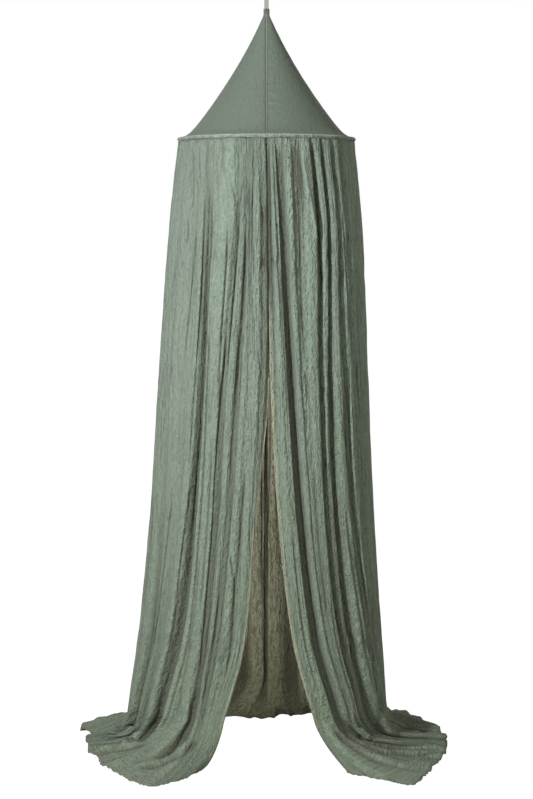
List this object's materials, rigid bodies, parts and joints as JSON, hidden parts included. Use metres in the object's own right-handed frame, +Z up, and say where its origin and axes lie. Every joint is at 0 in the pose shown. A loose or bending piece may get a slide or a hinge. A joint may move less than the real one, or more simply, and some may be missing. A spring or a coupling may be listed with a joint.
{
  "type": "hanging bed canopy and hoop",
  "caption": "Tall hanging bed canopy: a cone roof on a cased hoop, with long muslin curtains that part as a doorway and pool on the floor.",
  "frame": {"origin": "where a hook bears inside the tape loop at the top; everything hangs below it", "axes": "+Z up, the canopy's height; -Y is the side of the doorway; +X to the right seen from the doorway side"},
  "size_m": [1.273, 1.0492, 2.5521],
  "materials": {
    "curtain_cloth": "crinkled cotton muslin, sage green, matt",
    "roof_cloth": "plain cotton muslin, sage green, matt",
    "casing_cloth": "cotton binding, sage green, matt",
    "tape": "woven cotton tape, grey green",
    "rod": "plain white"
  },
  "bodies": {
    "root": {"hanging_loop": "tape", "roof_left": "roof_cloth", "roof_right": "roof_cloth", "hoop": "rod", "hoop_casing": "casing_cloth", "curtain_left": "curtain_cloth", "curtain_right": "curtain_cloth", "curtain_back": "curtain_cloth"}
  },
  "joints": []
}
